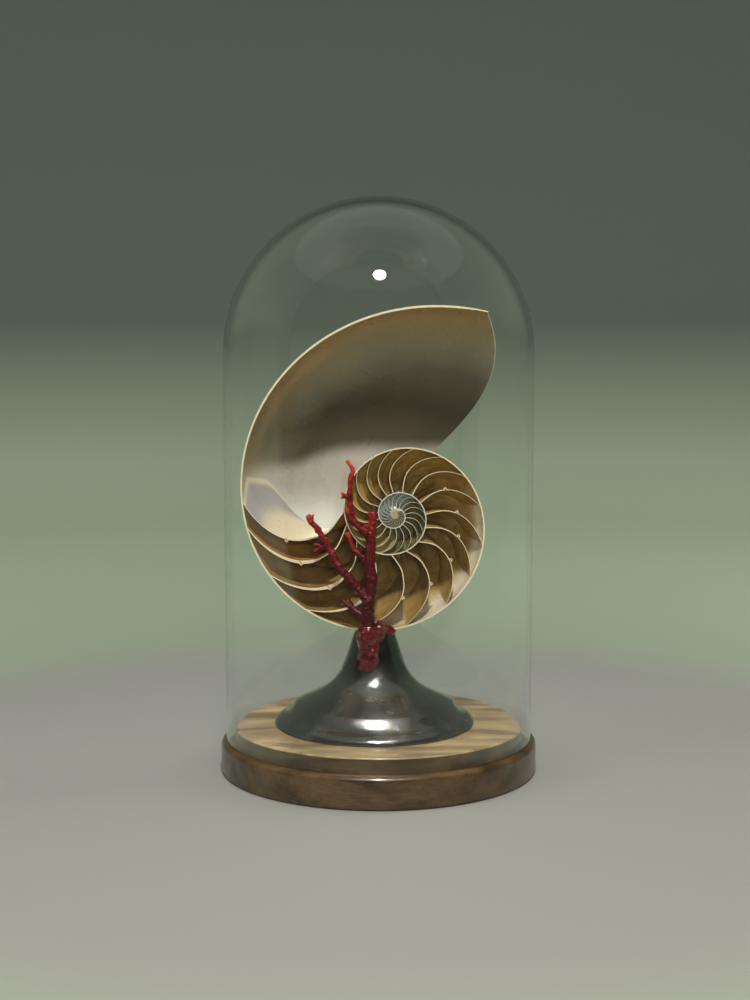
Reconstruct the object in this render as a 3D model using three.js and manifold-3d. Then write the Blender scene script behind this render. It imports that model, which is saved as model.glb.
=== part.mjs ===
// Half of a chambered nautilus shell, cut down its middle and standing on a polished metal foot,
// with a red coral branch set in red resin, on a turned wood base under a glass dome.
// Units are millimetres, +Z is up, and the origin is the centre of the base's underside.
import * as THREE from "three";
import { mergeVertices } from "three/addons/utils/BufferGeometryUtils.js";
import Module from "manifold-3d";

const wasm = await Module();
wasm.setup();

const degree = Math.PI / 180;
const fullTurn = 2 * Math.PI;
const seatGap = 0.3; // clearance left between pieces that touch

// ---- driving dimensions ----

const base = {
  radius: 82.6, // widest part of the lower plinth
  ledgeHeight: 16.4, // the ledge that the dome stands on
  discRadius: 74,
  discHeight: 24.4, // top of the raised disc inside the dome
  lipRound: 2.6,
  discRound: 1.2,
  footRound: 1.6,
  sides: 44,
};

const dome = {
  radius: 80,
  wall: 2.8,
  shoulderHeight: 217.3, // where the straight wall turns into the round top
  sides: 36,
  arcSteps: 8,
};

const foot = {
  x: -2.2,
  y: -0.5,
  top: 72.6,
  sides: 32,
};

const shell = {
  centreX: 8.9, // the axis of the coil, which runs along Y
  centreZ: 133.9,
  cutY: -4, // the flat cut face; the shell lies behind it
  apertureAngle: 65.8 * degree, // direction of the lip from the axis
  halfWidth: 0.36, // of the whorl's radius
  shoulder: 0.42, // radius of the widest place, of the whorl's radius
  lipBulge: 14.5 * degree, // how far the side of the lip runs ahead of the cut
  firstSeptum: 128 * degree,
  lastSeptum: 900 * degree,
  septumSpacing: 19.5 * degree, // in the inner whorls
};

// Angles of the outer septa behind the lip, in degrees, measured at the middle of each one.
const outerSepta = [128, 142.5, 163, 184.5, 209.5, 232, 256, 277, 298.5, 323.5, 347, 369.5, 392.5, 410.3, 428.6];

const coralFront = -12.5; // the coral stands this far in front of the cut face's zero plane

// ---- helpers ----

// Moves each vertex of a geometry with place(), then closes it: shared corners are merged,
// collapsed triangles dropped, and the faces turned outwards.
function shaped(geometry, place) {
  const positions = geometry.attributes.position;
  const corner = new THREE.Vector3();
  for (let i = 0; i < positions.count; i += 1) {
    corner.fromBufferAttribute(positions, i);
    place(corner);
    positions.setXYZ(i, corner.x, corner.y, corner.z);
  }
  return closed(geometry);
}

function closed(geometry) {
  geometry.deleteAttribute("normal");
  geometry.deleteAttribute("uv");
  const merged = mergeVertices(geometry, 1e-3);
  const kept = [];
  const index = merged.index.array;
  for (let i = 0; i < index.length; i += 3) {
    const [a, b, c] = [index[i], index[i + 1], index[i + 2]];
    if (a !== b && b !== c && c !== a) {
      kept.push(a, b, c);
    }
  }
  merged.setIndex(kept);
  if (enclosedVolume(merged) < 0) {
    for (let i = 0; i < kept.length; i += 3) {
      [kept[i], kept[i + 1]] = [kept[i + 1], kept[i]];
    }
    merged.setIndex(kept);
  }
  return merged;
}

function enclosedVolume(geometry) {
  const positions = geometry.attributes.position;
  const index = geometry.index.array;
  const [a, b, c] = [new THREE.Vector3(), new THREE.Vector3(), new THREE.Vector3()];
  let volume = 0;
  for (let i = 0; i < index.length; i += 3) {
    a.fromBufferAttribute(positions, index[i]);
    b.fromBufferAttribute(positions, index[i + 1]);
    c.fromBufferAttribute(positions, index[i + 2]);
    volume += a.dot(b.cross(c)) / 6;
  }
  return volume;
}

function toManifold(geometry) {
  const vertProperties = new Float32Array(geometry.attributes.position.array);
  const triVerts = new Uint32Array(geometry.index.array);
  return new wasm.Manifold(new wasm.Mesh({ numProp: 3, vertProperties, triVerts }));
}

function toGeometry(manifold) {
  const mesh = manifold.getMesh();
  const geometry = new THREE.BufferGeometry();
  geometry.setAttribute("position", new THREE.BufferAttribute(mesh.vertProperties, 3));
  geometry.setIndex(new THREE.BufferAttribute(mesh.triVerts, 1));
  return geometry;
}

// The largest separate body of a solid, without the crumbs that a cut can leave. Corners closer
// together than a micrometre are merged first, because that can part a crumb from the body.
function largestBody(manifold) {
  const merged = toManifold(closed(toGeometry(manifold)));
  return merged.decompose().reduce((best, body) => (body.volume() > best.volume() ? body : best));
}

// A solid turned about Z from a list of [radius, height] points that starts and ends on the axis.
function turned(profile, sides) {
  const points = profile.map(([radius, height]) => new THREE.Vector2(radius, height));
  return closed(new THREE.LatheGeometry(points, sides).rotateX(Math.PI / 2));
}

// Points on an arc about (centreRadius, centreHeight), angles in degrees from the outward direction.
function arc(centreRadius, centreHeight, radius, from, to, steps) {
  return Array.from({ length: steps + 1 }, (_, i) => {
    const angle = THREE.MathUtils.lerp(from, to, i / steps) * degree;
    return [centreRadius + radius * Math.cos(angle), centreHeight + radius * Math.sin(angle)];
  });
}

// ---- turned base, foot and dome ----

function woodBase() {
  const { radius, ledgeHeight, discRadius, discHeight, lipRound, discRound, footRound } = base;
  return turned(
    [
      [0, 0],
      ...arc(radius - footRound, footRound, footRound, -90, 0, 2),
      ...arc(radius - lipRound, ledgeHeight - lipRound, lipRound, 0, 90, 4),
      [discRadius, ledgeHeight],
      ...arc(discRadius - discRound, discHeight - discRound, discRound, 0, 90, 3),
      [0, discHeight],
    ],
    base.sides,
  );
}

// The foot's outline above the base: a flange with a thin rim, a rounded roll and a trumpet neck.
// grow makes the larger copy that neighbours are cut back with.
function metalFoot(grow = 0) {
  const outline = [
    [52.2, 24.4],
    [52.4, 25.4],
    [51.6, 27],
    [49.4, 28.4],
    [46.6, 29.6],
    [44.6, 31.6],
    [42.8, 33.8],
    [40, 36],
    [36, 38.3],
    [31, 40.5],
    [26, 43.2],
    [22, 46.5],
    [18.5, 51],
    [16, 56],
    [14, 62],
    [12.2, 67.5],
    [10.6, foot.top - 0.6],
    [10, foot.top],
  ];
  const profile = [
    [0, base.discHeight + seatGap - grow],
    ...outline.map(([radius, height], i) => [radius + grow, Math.max(height, base.discHeight + (i ? 0 : seatGap)) + grow]),
    [0, foot.top + grow],
  ];
  return turned(profile, foot.sides).translate(foot.x, foot.y, 0);
}

function glassDome() {
  const { radius, wall, shoulderHeight, sides, arcSteps } = dome;
  const rim = base.ledgeHeight + seatGap;
  const outer = arc(0, shoulderHeight, radius, 90, 0, arcSteps);
  const inner = arc(0, shoulderHeight, radius - wall, 0, 90, arcSteps);
  outer[0][0] = 0;
  inner[arcSteps][0] = 0;
  return turned([...outer, [radius, rim], [radius - wall, rim], ...inner], sides);
}

// ---- nautilus shell ----
// A point of the shell has three coordinates: turn, the angle back from the lip towards the heart of
// the coil; reach, its whorl's radius there; and side, from 0 on the cut face to 1 at the navel.

// Outer radius of the shell at an angle behind the lip. It falls to a third with each turn.
function whorlRadius(turn) {
  return Math.exp(4.7466 - 0.19237 * turn + 0.002846 * turn ** 2 - 0.0001128 * turn ** 3);
}

function wallThickness(turn) {
  return 0.6 + 0.009 * whorlRadius(turn);
}

function septumThickness(turn) {
  return 0.5 + 0.007 * whorlRadius(turn);
}

// The whorl's cross-section for a radius of 1: [distance from the axis, depth behind the cut].
function section(side) {
  const angle = side * 165 * degree;
  if (angle <= Math.PI / 2) {
    const across = shell.shoulder + (1 - shell.shoulder) * Math.cos(angle);
    return [across, shell.halfWidth * Math.sin(angle) ** 0.9];
  }
  return [shell.shoulder * (1 + Math.cos(angle)), shell.halfWidth * Math.sin(angle) ** 0.5];
}

// Outward direction of the cross-section's edge: [away from the axis, behind the cut].
function sectionNormal(side) {
  const step = 0.01;
  const [acrossBefore, depthBefore] = section(Math.max(side - step, 0));
  const [acrossAfter, depthAfter] = section(Math.min(side + step, 1));
  const edge = new THREE.Vector2(acrossAfter - acrossBefore, depthAfter - depthBefore).normalize();
  return side <= 0 ? [1, 0] : [edge.y, -edge.x];
}

// inset moves the point in from the outer surface, square to it.
function shellPoint(point, turn, reach, side, inset = 0) {
  const [across, depth] = section(Math.max(side, 0));
  const [normalAcross, normalDepth] = sectionNormal(side);
  const direction = shell.apertureAngle + turn;
  const fromAxis = reach * across - inset * normalAcross;
  const inFront = side < 0 ? 3 : 0; // cutters stand out of the cut face
  point.set(
    shell.centreX + fromAxis * Math.cos(direction),
    shell.cutY + reach * depth - inset * normalDepth - inFront,
    shell.centreZ + fromAxis * Math.sin(direction),
  );
}

function lipTurn(side) {
  return -shell.lipBulge * Math.sin(Math.PI * Math.min(side * 1.06, 1)) ** 2;
}

// A wedge of the last whorl, solid from the axis to its outer surface.
function whorlWedge(fromTurn, toTurn, steps, grow = 0) {
  const block = new THREE.BoxGeometry(1, 1, 1, 1, 10, steps);
  return shaped(block, (point) => {
    const along = point.z + 0.5;
    const side = point.y + 0.5;
    const lip = fromTurn === 0 ? lipTurn(side) * Math.max(1 - along * 2.2, 0) ** 1.5 : 0;
    const turn = THREE.MathUtils.lerp(fromTurn, toTurn, along) + lip;
    const reach = point.x < 0 ? 1 : whorlRadius(turn) + grow;
    shellPoint(point, turn, reach, side);
  });
}

// How far a septum's surface lies from its middle, as an angle behind the lip: it is a bowl, hollow
// towards the lip, whose rim runs forward along the outer wall and, in the outer whorl, at its back.
function septumSweep(middle, across, side) {
  const { lerp, smoothstep } = THREE.MathUtils;
  const order = middle / degree;
  const navel = Math.min(side / 0.85, 1);
  const sideRise = 26 * smoothstep(section(Math.max(side, 0))[0], 0.5, 0.88) - 3;
  const cutRise = lerp(18.5, 23, smoothstep(order, 128, 142));
  const outerRise = lerp(cutRise, sideRise, Math.min(side * 6, 1));
  const backRise = lerp(lerp(18, 11, smoothstep(order, 128, 210)), 2, smoothstep(order, 258, 290));
  const lowest = lerp(0.42, 0.27, smoothstep(order, 180, 300));
  const outward = Math.max((across - lowest) / (1 - lowest), 0) ** 2;
  const inward = Math.max((0.3 - across) / 0.3, 0) ** 2;
  const floor = lerp(-1.5, -3, navel ** 2);
  const inner = (backRise * (1 - navel) - floor) * inward;
  return -(floor + (outerRise - floor) * outward + inner) * degree;
}

// A cutter for the hollow between two septa, or for the living chamber in front of the first one.
function hollow(front, back, navelSide, acrossSteps, sideSteps, turnSteps) {
  const block = new THREE.BoxGeometry(1, 1, 1, acrossSteps, sideSteps + 1, turnSteps);
  return shaped(block, (point) => {
    const across = point.x + 0.5;
    const along = point.z + 0.5;
    const row = Math.round((point.y + 0.5) * (sideSteps + 1)) - 1;
    const side = row < 0 ? -1 : (row / sideSteps) * navelSide;
    const faceTurn = (middle, towards) => {
      const turn = middle + septumSweep(middle, across, side);
      const reach = THREE.MathUtils.lerp(whorlRadius(turn + fullTurn), whorlRadius(turn), across);
      const fromAxis = reach * Math.max(section(Math.max(side, 0))[0], 0.15);
      return turn + (towards * septumThickness(middle)) / 2 / fromAxis;
    };
    const start = front === null ? -0.45 : faceTurn(front, 1);
    const turn = THREE.MathUtils.lerp(start, faceTurn(back, -1), along);
    const floorLift = turn < 0 ? seatGap : 0;
    const inner = whorlRadius(turn + fullTurn) + floorLift;
    const reach = THREE.MathUtils.lerp(inner, whorlRadius(turn), across);
    shellPoint(point, turn, reach, side, across * wallThickness(turn));
  });
}

function septumAngles() {
  const angles = outerSepta.map((angle) => angle * degree);
  while (angles.at(-1) + shell.septumSpacing < shell.lastSeptum) {
    angles.push(angles.at(-1) + shell.septumSpacing);
  }
  return angles;
}

// The rounded knob that closes the navel on the shell's outer side.
function navelKnob() {
  const outline = [[0, 0], [15, 0], [15.5, 9], [14, 15], [11, 19.5], [7, 22.4], [3.5, 23.6], [0, 24]];
  const points = outline.map(([radius, height]) => new THREE.Vector2(radius, height));
  const knob = new THREE.LatheGeometry(points, 24);
  return closed(knob.translate(shell.centreX, shell.cutY, shell.centreZ));
}

function shellOutside(grow = 0) {
  const wedges = [
    whorlWedge(0, 130 * degree, 13, grow),
    whorlWedge(128 * degree, 250 * degree, 12, grow),
    whorlWedge(248 * degree, 368 * degree, 12, grow),
    navelKnob(),
  ];
  return wedges.map(toManifold).reduce((whole, piece) => whole.add(piece));
}

function nautilusShellHalf() {
  let body = shellOutside();
  body = body.subtract(toManifold(hollow(null, shell.firstSeptum, 0.85, 5, 7, 12)));
  const septa = septumAngles();
  for (let i = 0; i + 1 < septa.length; i += 1) {
    const detail = septa[i] < fullTurn ? [0.85, 4, 3, 2] : [0.6, 2, 2, 1];
    body = body.subtract(toManifold(hollow(septa[i], septa[i + 1], ...detail)));
  }
  return toGeometry(largestBody(body));
}

// ---- coral and resin ----

// A tapering round branch along a smooth curve through points, with a blunt rounded tip.
function branch(points, startRadius, endRadius, rings, grow = 0) {
  const sides = 7;
  const curve = new THREE.CatmullRomCurve3(points.map((point) => new THREE.Vector3(...point)));
  const frames = curve.computeFrenetFrames(rings);
  const tube = new THREE.CylinderGeometry(1, 1, 1, sides, rings, false);
  return shaped(tube, (point) => {
    const along = point.y + 0.5;
    const ring = Math.round(along * rings);
    const tip = ring === rings ? 0.55 : 1;
    const radius = (THREE.MathUtils.lerp(startRadius, endRadius, along) + grow) * tip;
    const [across, up] = [point.x * radius, point.z * radius];
    curve.getPointAt(along, point);
    point.addScaledVector(frames.normals[ring], across);
    point.addScaledVector(frames.binormals[ring], up);
  });
}

const fork = [-5.4, coralFront, 90.5];
const coralBranches = {
  coral_trunk: [[[-6.6, -14.6, 71], [-6.3, -13.8, 76], [-5.8, -13, 83], fork], 4.1, 3.2, 5],
  coral_left_branch: [
    [fork, [-8.6, -12.2, 94.6], [-14.4, -11.5, 101.2], [-19.8, -11, 106.5], [-23.3, -10.5, 113.6],
      [-30.5, -9.5, 126], [-34.9, -9, 131.3], [-36.2, -8.6, 134.6]], 2.5, 1.3, 11],
  coral_centre_stem: [
    [fork, [-3.9, -12, 98.6], [-4.5, -11.3, 109.5], [-4.2, -10.8, 118], [-3.7, -10.2, 127], [-3.1, -9.4, 136.4]],
    3.1, 2.2, 8],
  coral_tall_branch: [
    [[-4.2, -10.6, 121.8], [-6.4, -10, 125.6], [-10.6, -9.7, 129], [-13.8, -9.4, 134], [-14.9, -9.2, 140],
      [-14.5, -9, 152.7], [-13.6, -8.7, 158.2], [-16.3, -8.4, 162.8]], 2.1, 1, 11],
  coral_rear_branch: [
    [[-4.5, -11, 108.4], [-8.2, -10.2, 112.7], [-12, -9, 116.4], [-14.6, -8, 121.5], [-15.6, -7.4, 125.6]], 1.7, 1.1, 6],
  coral_low_branch: [[[-6, -13, 80.6], [-9.4, -12, 82.8], [-14.4, -10.6, 86.8], [-18.6, -9.4, 90.2]], 2.3, 1, 5],
  coral_left_twig: [[[-26.6, -10.1, 119.2], [-30, -9.2, 117.4], [-33.4, -8.4, 116]], 1.3, 0.8, 3],
  coral_tall_twig: [[[-14.6, -9.1, 143.2], [-17.4, -8.7, 144.6], [-20, -8.4, 146]], 1.2, 0.7, 3],
};

// Each branch is cut back from the ones it grows out of, so neighbours meet with a small gap.
function coralPieces() {
  const pieces = {};
  const grownSoFar = [toManifold(metalFoot(seatGap))];
  for (const [name, [points, startRadius, endRadius, rings]] of Object.entries(coralBranches)) {
    let body = toManifold(branch(points, startRadius, endRadius, rings));
    for (const neighbour of grownSoFar) {
      body = body.subtract(neighbour);
    }
    grownSoFar.push(toManifold(branch(points, startRadius, endRadius, rings, seatGap)));
    pieces[name] = toGeometry(largestBody(body));
  }
  return { pieces, grown: grownSoFar };
}

// A pool of resin between foot and shell, a bulge beside the coral and a run down the foot's neck.
const resinBlobs = [
  [[-1, -5.4, 73.6], [10, 6.2, 3.2]],
  [[-0.4, -11.6, 74.8], [4.4, 3.8, 6.6]],
  [[-6.2, -12.4, 72.2], [6.2, 4.2, 6.6]],
  [[-4.8, -13.8, 66.4], [5.4, 3.6, 8.4]],
  [[-5.3, -14.8, 60.6], [5.7, 4.2, 8.2]],
];

function redResin(grownCoral) {
  const blobs = resinBlobs.map(([centre, radii]) => {
    const ball = new THREE.SphereGeometry(1, 10, 6).rotateX(Math.PI / 2);
    return toManifold(closed(ball.scale(...radii).translate(...centre)));
  });
  let body = blobs.reduce((whole, blob) => whole.add(blob));
  body = body.subtract(toManifold(metalFoot(seatGap)));
  body = body.subtract(shellOutside(seatGap).translate([0, -seatGap, 0]));
  for (const neighbour of grownCoral) {
    body = body.subtract(neighbour);
  }
  return toGeometry(largestBody(body));
}

// ---- materials and scene ----

const wood = { color: 0x8a5a30, roughness: 0.4, metalness: 0 };
const polishedMetal = { color: 0x8d918f, roughness: 0.15, metalness: 1 };
const nacre = { color: 0xe6d6b4, roughness: 0.35, metalness: 0 };
const coralRed = { color: 0x8e1f2b, roughness: 0.45, metalness: 0 };
const resinRed = { color: 0x6a0a10, roughness: 0.08, metalness: 0 };
const clearGlass = { color: 0xdfeae6, roughness: 0.03, metalness: 0, transparent: true, opacity: 0.25 };

const part = new THREE.Group();

function addPiece(name, geometry, finish) {
  const mesh = new THREE.Mesh(geometry, new THREE.MeshStandardMaterial(finish));
  mesh.name = name;
  part.add(mesh);
}

addPiece("wood_base", woodBase(), wood);
addPiece("metal_foot", metalFoot(), polishedMetal);
addPiece("nautilus_shell_half", nautilusShellHalf(), nacre);
const coral = coralPieces();
for (const [name, geometry] of Object.entries(coral.pieces)) {
  addPiece(name, geometry, coralRed);
}
addPiece("red_resin", redResin(coral.grown), resinRed);
addPiece("glass_dome", glassDome(), clearGlass);

export default part;
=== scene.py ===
import math

import bmesh
import bpy
from mathutils import Matrix, Vector, kdtree, noise


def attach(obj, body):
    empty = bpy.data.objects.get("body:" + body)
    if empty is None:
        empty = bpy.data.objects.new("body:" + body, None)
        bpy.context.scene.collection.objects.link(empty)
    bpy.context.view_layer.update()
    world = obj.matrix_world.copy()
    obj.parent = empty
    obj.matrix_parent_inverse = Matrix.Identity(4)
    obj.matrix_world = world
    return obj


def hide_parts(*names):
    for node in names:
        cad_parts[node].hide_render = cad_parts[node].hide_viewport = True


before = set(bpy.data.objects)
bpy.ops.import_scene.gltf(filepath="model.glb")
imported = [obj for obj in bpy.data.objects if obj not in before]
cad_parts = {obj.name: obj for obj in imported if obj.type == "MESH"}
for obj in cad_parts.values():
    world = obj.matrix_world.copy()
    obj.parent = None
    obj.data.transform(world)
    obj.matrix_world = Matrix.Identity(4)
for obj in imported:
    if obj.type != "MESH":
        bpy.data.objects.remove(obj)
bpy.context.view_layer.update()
mm = 0.001
fullTurn = 2 * math.pi


# Small helpers


def lerp(start, end, part):
    return start + (end - start) * part


def smoothStep(value, low, high):
    part = min(max((value - low) / (high - low), 0), 1)
    return part * part * (3 - 2 * part)


def smoothPath(points, steps):  # a rounded path through points
    path = []
    last = len(points) - 1
    for i in range(last):
        before, start = Vector(points[max(i - 1, 0)]), Vector(points[i])
        end, after = Vector(points[i + 1]), Vector(points[min(i + 2, last)])
        for step in range(steps):
            t = step / steps
            bend = (end - before) * t + (2 * before - 5 * start + 4 * end - after) * t**2
            path.append(start + (bend + (3 * start - before - 3 * end + after) * t**3) / 2)
    path.append(Vector(points[last]))
    return path


def arcPoints(centre, radius, start, end, steps):  # angles in degrees from the outward direction
    angles = [math.radians(lerp(start, end, i / steps)) for i in range(steps + 1)]
    return [(centre[0] + radius * math.cos(a), centre[1] + radius * math.sin(a)) for a in angles]


def turnedMesh(profile, centre=(0, 0), steps=160):  # profile of (radius, height) in mm
    bm = bmesh.new()
    x, y = centre[0] * mm, centre[1] * mm
    verts = [bm.verts.new((x + radius * mm, y, height * mm)) for radius, height in profile]
    edges = [bm.edges.new(pair) for pair in zip(verts, verts[1:])]
    bmesh.ops.spin(bm, geom=verts + edges, cent=(x, y, 0), axis=(0, 0, 1), angle=fullTurn,
                   steps=steps, use_merge=True)
    bmesh.ops.remove_doubles(bm, verts=bm.verts, dist=0.001 * mm)
    bmesh.ops.recalc_face_normals(bm, faces=bm.faces)
    return bm


def newObject(name, bm, materials=()):
    mesh = bpy.data.meshes.new(name)
    bm.to_mesh(mesh)
    bm.free()
    made = bpy.data.objects.new(name, mesh)
    bpy.context.scene.collection.objects.link(made)
    for material in materials:
        mesh.materials.append(material)
    return made


def applyModifiers(piece):
    depsgraph = bpy.context.evaluated_depsgraph_get()
    mesh = bpy.data.meshes.new_from_object(piece.evaluated_get(depsgraph))
    piece.modifiers.clear()
    piece.data = mesh


def combine(piece, other, operation):  # joins or cuts piece with other, which goes away
    cut = piece.modifiers.new("cut", "BOOLEAN")
    cut.object, cut.operation, cut.solver = other, operation, "MANIFOLD"
    applyModifiers(piece)
    bpy.data.objects.remove(other)


def finishPiece(piece, nodes, sharpAngle=35):
    piece.data.shade_smooth()
    piece.data.set_sharp_from_angle(angle=math.radians(sharpAngle))
    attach(piece, "root")
    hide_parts(*nodes)
    print(piece.name, len(piece.data.vertices), "vertices")


# Material helpers


def newMaterial(name, **values):  # values are constants on the shader's own sockets
    material = bpy.data.materials.new(name)
    material.use_nodes = True
    shader = material.node_tree.nodes["Principled BSDF"]
    for socket, value in values.items():
        shader.inputs[socketNames[socket]].default_value = value
    return material, material.node_tree, shader


socketNames = {
    "colour": "Base Color",
    "metallic": "Metallic",
    "roughness": "Roughness",
    "ior": "IOR",
    "specular": "Specular IOR Level",
    "transmission": "Transmission Weight",
    "coat": "Coat Weight",
    "coatRoughness": "Coat Roughness",
}


def addNode(tree, kind, inputs=None, **settings):
    node = tree.nodes.new("ShaderNode" + kind)
    for name, value in settings.items():
        setattr(node, name, value)
    for name, value in (inputs or {}).items():
        if isinstance(value, bpy.types.NodeSocket):
            tree.links.new(value, node.inputs[name])
        else:
            node.inputs[name].default_value = value
    return node


def mathNode(tree, operation, first, second=0.0):
    return addNode(tree, "Math", {0: first, 1: second}, operation=operation).outputs[0]


def product(tree, *masks):
    result = masks[0]
    for mask in masks[1:]:
        result = mathNode(tree, "MULTIPLY", result, mask)
    return result


def scaled(tree, colour, factor):
    return addNode(tree, "VectorMath", {0: colour, "Scale": factor}, operation="SCALE").outputs[0]


def coilParts(tree):  # the shell's own coordinates: growth turn, across the whorl, side
    coil = addNode(tree, "Attribute", attribute_name="coil").outputs["Vector"]
    return coil, *addNode(tree, "SeparateXYZ", {0: coil}).outputs


def rangeNode(tree, value, low, high, toLow=0.0, toHigh=1.0):  # a soft step from low to high
    inputs = {"Value": value, "From Min": low, "From Max": high, "To Min": toLow, "To Max": toHigh}
    return addNode(tree, "MapRange", inputs, interpolation_type="SMOOTHSTEP").outputs[0]


def rampNode(tree, value, stops):  # stops of (place, colour)
    ramp = addNode(tree, "ValToRGB", {"Fac": value})
    elements = ramp.color_ramp.elements
    elements[1].position, elements[1].color = stops[-1][0], (*stops[-1][1], 1)
    elements[0].position, elements[0].color = stops[0][0], (*stops[0][1], 1)
    for place, colour in stops[1:-1]:
        elements.new(place).color = (*colour, 1)
    return ramp.outputs["Color"]


def mixColour(tree, factor, first, second):
    node = addNode(tree, "Mix", data_type="RGBA")
    for socket, value in ((0, factor), (6, first), (7, second)):
        if isinstance(value, bpy.types.NodeSocket):
            tree.links.new(value, node.inputs[socket])
        else:
            node.inputs[socket].default_value = value if socket == 0 else (*value, 1)
    return node.outputs[2]


def objectPoint(tree, scale=(1, 1, 1), turn=(0, 0, 0), move=(0, 0, 0)):
    point = addNode(tree, "TexCoord").outputs["Object"]
    inputs = {"Vector": point, "Scale": scale, "Rotation": turn, "Location": move}
    return addNode(tree, "Mapping", inputs).outputs[0]


def noiseNode(tree, vector, scale, detail=3.0, roughness=0.5, distortion=0.0):
    inputs = {"Vector": vector, "Scale": scale, "Detail": detail, "Roughness": roughness,
              "Distortion": distortion}
    return addNode(tree, "TexNoise", inputs).outputs["Fac"]


def bumpNode(tree, height, strength, distance):
    return addNode(tree, "Bump", {"Height": height, "Strength": strength, "Distance": distance}).outputs[0]


def newGroup(name, inputs, outputs):  # inputs and outputs of (name, kind, value)
    group = bpy.data.node_groups.new(name, "ShaderNodeTree")
    for label, kind, value in inputs:
        socket = group.interface.new_socket(name=label, in_out="INPUT", socket_type="NodeSocket" + kind)
        if value is not None:
            socket.default_value = value
    for label, kind in outputs:
        group.interface.new_socket(name=label, in_out="OUTPUT", socket_type="NodeSocket" + kind)
    given = group.nodes.new("NodeGroupInput").outputs
    result = group.nodes.new("NodeGroupOutput").inputs
    return group, given, result


def placeGroup(tree, group, **inputs):
    node = tree.nodes.new("ShaderNodeGroup")
    node.node_tree = group
    for name, value in inputs.items():
        if isinstance(value, bpy.types.NodeSocket):
            tree.links.new(value, node.inputs[name])
        else:
            node.inputs[name].default_value = value
    return node


# Shared effects


def makeSmudges():  # finger marks and fine wear: a mask from 0 to 1
    group, given, result = newGroup("smudges", [("Scale", "Float", 60.0), ("Amount", "Float", 0.5)],
                                    [("Mask", "Float")])
    point = objectPoint(group)
    broad = noiseNode(group, point, given["Scale"], 5.0, 0.62, 0.6)
    soft = rangeNode(group, broad, 0.42, 0.72)
    group.links.new(mathNode(group, "MULTIPLY", soft, given["Amount"]), result["Mask"])
    return group


def makeGrowthLines():  # fine lines that follow the shell's lip, as a height
    group, given, result = newGroup("growthLines", [("Lines", "Float", 60.0), ("Waver", "Float", 0.04)],
                                    [("Height", "Float"), ("Band", "Float")])
    coil, turn, _, _ = coilParts(group)
    waver = noiseNode(group, coil, 3.0, 3.0)
    wavy = mathNode(group, "ADD", turn, mathNode(group, "MULTIPLY", waver, given["Waver"]))
    lineTurn = mathNode(group, "MULTIPLY", wavy, given["Lines"])
    fine = addNode(group, "TexNoise", {"W": lineTurn, "Scale": 1.0, "Detail": 4.0, "Roughness": 0.65},
                   noise_dimensions="1D").outputs["Fac"]
    slow = addNode(group, "TexNoise", {"W": mathNode(group, "MULTIPLY", lineTurn, 0.16), "Scale": 1.0,
                                       "Detail": 2.0}, noise_dimensions="1D").outputs["Fac"]
    group.links.new(fine, result["Height"])
    group.links.new(slow, result["Band"])
    return group


smudges = makeSmudges()
growthLines = makeGrowthLines()

# Wood base

base = {
    "radius": 82.6,
    "ledgeHeight": 16.4,
    "discRadius": 74,
    "discHeight": 24.4,
    "lipRound": 2.6,
    "discRound": 1.2,
    "footRound": 1.6,
    "grooveRadius": 76.2,
}


def makeWoodGrain():
    group, given, result = newGroup("woodGrain", [("Dark", "Color", None), ("Light", "Color", None)],
                                    [("Color", "Color"), ("Height", "Float")])
    drift = noiseNode(group, objectPoint(group), 9.0, 2.0)
    point = objectPoint(group, scale=(1.0, 11.0, 11.0), turn=(0.0, 0.05, 0.06))
    push = scaled(group, addNode(group, "CombineXYZ", {"Y": drift, "Z": drift}).outputs[0], 0.5)
    bent = addNode(group, "VectorMath", {0: point, 1: push}, operation="ADD").outputs[0]
    bands = noiseNode(group, bent, 9.0, 4.0, 0.6)
    fibres = noiseNode(group, objectPoint(group, scale=(26, 900, 900)), 1.0, 3.0, 0.7)
    pores = rangeNode(group, noiseNode(group, objectPoint(group, scale=(60, 1500, 1500)), 1.0, 1.0),
                      0.60, 0.68)
    tone = mathNode(group, "ADD", mathNode(group, "MULTIPLY", bands, 0.8),
                    mathNode(group, "MULTIPLY", fibres, 0.22))
    grain = mixColour(group, rangeNode(group, tone, 0.34, 0.66), given["Dark"], given["Light"])
    darkPores = mixColour(group, mathNode(group, "MULTIPLY", pores, 0.45), grain, given["Dark"])
    group.links.new(darkPores, result["Color"])
    group.links.new(mathNode(group, "SUBTRACT", fibres, pores), result["Height"])
    return group


def makeWood(name, dark, light, roughness, lacquer):
    material, tree, shader = newMaterial(name, coat=lacquer, coatRoughness=0.12)
    grain = placeGroup(tree, woodGrain, Dark=(*dark, 1), Light=(*light, 1))
    blotches = noiseNode(tree, objectPoint(tree), 38.0, 4.0, 0.6)
    aged = mixColour(tree, rangeNode(tree, blotches, 0.45, 0.75, 0.0, 0.6), grain.outputs["Color"], dark)
    tree.links.new(aged, shader.inputs["Base Color"])
    marks = placeGroup(tree, smudges, Scale=55.0, Amount=0.16)
    tree.links.new(mathNode(tree, "ADD", marks.outputs["Mask"], roughness), shader.inputs["Roughness"])
    tree.links.new(bumpNode(tree, grain.outputs["Height"], 0.35, 0.12 * mm), shader.inputs["Normal"])
    return material


woodGrain = makeWoodGrain()


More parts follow.
